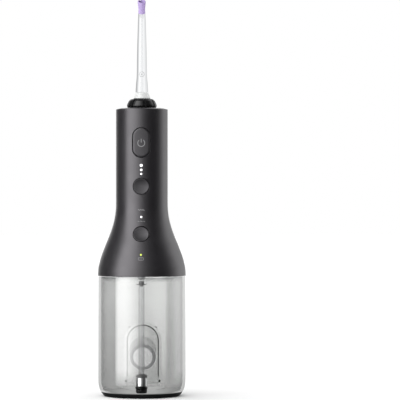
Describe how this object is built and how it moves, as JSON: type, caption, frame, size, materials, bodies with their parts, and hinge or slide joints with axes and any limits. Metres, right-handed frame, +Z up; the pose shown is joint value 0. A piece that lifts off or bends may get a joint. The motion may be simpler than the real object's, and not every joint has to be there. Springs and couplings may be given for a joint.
{
  "type": "water flosser",
  "caption": "Cordless oral irrigator: black flared handle with press buttons on a clear water tank, rotating knob and bent clear nozzle with a soft tip.",
  "frame": {"origin": "centre of the base on the floor it stands on", "axes": "+Z up along the handle and nozzle, front with the buttons faces -Y, +X to the right of the front"},
  "size_m": [0.0654, 0.0654, 0.2948],
  "materials": {
    "base_rubber": "matte",
    "tank_clear": "clear moulded plastic, polished",
    "collar_grey": "translucent pale grey plastic",
    "seal_grey": "soft silicone",
    "seal_pale": "soft silicone",
    "seal_black": "soft",
    "handle_black": "fine satin, slightly warm black",
    "inner_black": "satin",
    "button_black": "satin, smoother than the casing",
    "cover_rubber": "matte",
    "plated_steel": "nickel plated",
    "spring_steel": "drawn wire",
    "light_white": "clear acrylic light guide",
    "light_green": "yellow-green acrylic light guide",
    "board_green": "solder mask",
    "motor_steel": "zinc plated",
    "shaft_steel": "ground",
    "cell_blue": "shrink sleeve",
    "brass": "machined",
    "gear_nylon": "natural acetal",
    "pump_ivory": "glass-filled",
    "valve_red": "silicone",
    "port_grey": "translucent grey",
    "hose_clear": "translucent silicone",
    "filter_black": "gloss",
    "weight_steel": "polished stainless",
    "knob_gloss": "high gloss black",
    "nozzle_clear": "clear plastic, slightly frosted",
    "collar_white": "white",
    "tip_purple": "soft translucent elastomer"
  },
  "bodies": {
    "tank": {"tank_shell": "tank_clear", "foot_pad": "base_rubber"},
    "handle": {"handle_housing": "handle_black", "handle_bulkhead": "collar_grey", "tank_seal": "seal_pale", "bulkhead_o_ring": "seal_black", "charging_socket": "plated_steel", "intensity_light_guide": "light_white", "mode_light_guide": "light_white", "battery_light_guide": "light_green", "control_board": "board_green", "tact_switch_1": "plated_steel", "tact_switch_2": "plated_steel", "tact_switch_3": "plated_steel", "chassis": "inner_black", "motor_screw_1": "plated_steel", "motor_screw_2": "plated_steel", "motor_can": "motor_steel", "battery_cell": "cell_blue", "battery_tab_top": "plated_steel", "battery_tab_bottom": "plated_steel", "crank_axle": "shaft_steel", "pump_body": "pump_ivory", "pump_head": "pump_ivory", "inlet_valve": "valve_red", "outlet_valve": "valve_red", "suction_port": "port_grey", "inlet_hose": "hose_clear", "outlet_hose": "hose_clear", "nozzle_socket": "inner_black", "socket_o_ring": "seal_black"},
    "fill_door": {"fill_door": "tank_clear", "fill_door_seal": "seal_grey"},
    "power_button": {"power_button": "button_black"},
    "intensity_button": {"intensity_button": "button_black"},
    "mode_button": {"mode_button": "button_black"},
    "release_button": {"release_button": "button_black", "release_latch": "plated_steel", "release_spring": "spring_steel"},
    "port_cover": {"port_cover": "cover_rubber"},
    "knob": {"rotary_knob": "knob_gloss", "knob_clip": "spring_steel"},
    "nozzle": {"nozzle_shaft": "nozzle_clear", "nozzle_collar": "collar_white", "nozzle_tip": "tip_purple"},
    "motor_rotor": {"motor_shaft": "shaft_steel", "motor_pinion": "brass"},
    "drive_gear": {"drive_gear": "gear_nylon", "crank_pin": "shaft_steel"},
    "piston": {"piston": "gear_nylon", "piston_seal": "seal_black"},
    "connecting_rod": {"connecting_rod": "gear_nylon"},
    "suction_hose": {"suction_hose": "hose_clear", "hose_connector": "inner_black", "filter_cap": "filter_black", "filter_weight": "weight_steel", "filter_base": "filter_black"}
  },
  "joints": [
    {"name": "handle_lift", "type": "slide", "parent": "tank", "child": "handle", "axis": [0, 0, 1], "range_m": [0, 0.1]},
    {"name": "fill_door_hinge", "type": "hinge", "parent": "tank", "child": "fill_door", "pos_m": [0, 0.0278, 0.0086], "axis": [-1, 0, 0], "range_deg": [0, 90]},
    {"name": "power_press", "type": "slide", "parent": "handle", "child": "power_button", "axis": [0, 1, 0], "range_m": [0, 0.0006]},
    {"name": "intensity_press", "type": "slide", "parent": "handle", "child": "intensity_button", "axis": [0, 1, 0], "range_m": [0, 0.0006]},
    {"name": "mode_press", "type": "slide", "parent": "handle", "child": "mode_button", "axis": [0, 0.9412, -0.3379], "range_m": [0, 0.0006]},
    {"name": "release_press", "type": "slide", "parent": "handle", "child": "release_button", "axis": [0, -1, 0], "range_m": [0, 0.002], "deforming": ["release_spring"]},
    {"name": "port_cover_hinge", "type": "hinge", "parent": "handle", "child": "port_cover", "pos_m": [0, 0.02873, 0.105], "axis": [-1, 0, 0], "range_deg": [0, 100]},
    {"name": "knob_spin", "type": "hinge", "parent": "handle", "child": "knob", "pos_m": [0, 0, 0.2165], "axis": [0, 0, 1], "continuous": true},
    {"name": "nozzle_pull", "type": "slide", "parent": "knob", "child": "nozzle", "axis": [0, 0, 1], "range_m": [0, 0.025]},
    {"name": "gear_spin", "type": "hinge", "parent": "handle", "child": "drive_gear", "pos_m": [0, -0.011, 0.1054], "axis": [0, 0, 1], "continuous": true},
    {"name": "motor_spin", "type": "hinge", "parent": "handle", "child": "motor_rotor", "pos_m": [0, 0.003, 0.1055], "axis": [0, 0, 1], "continuous": true},
    {"name": "piston_slide", "type": "slide", "parent": "handle", "child": "piston", "axis": [0, 1, 0], "range_m": [0, 0.004]},
    {"name": "rod_swing", "type": "hinge", "parent": "piston", "child": "connecting_rod", "pos_m": [0, 0.001, 0.0982], "axis": [0, 0, 1], "range_deg": [-9, 9]},
    {"name": "hose_swing", "type": "hinge", "parent": "handle", "child": "suction_hose", "pos_m": [0, -0.012, 0.0849], "axis": [1, 0, 0], "range_deg": [-8, 18]}
  ],
  "couplings": [
    {"joint": "motor_spin", "follows": "gear_spin", "ratio": -2.3333}
  ]
}
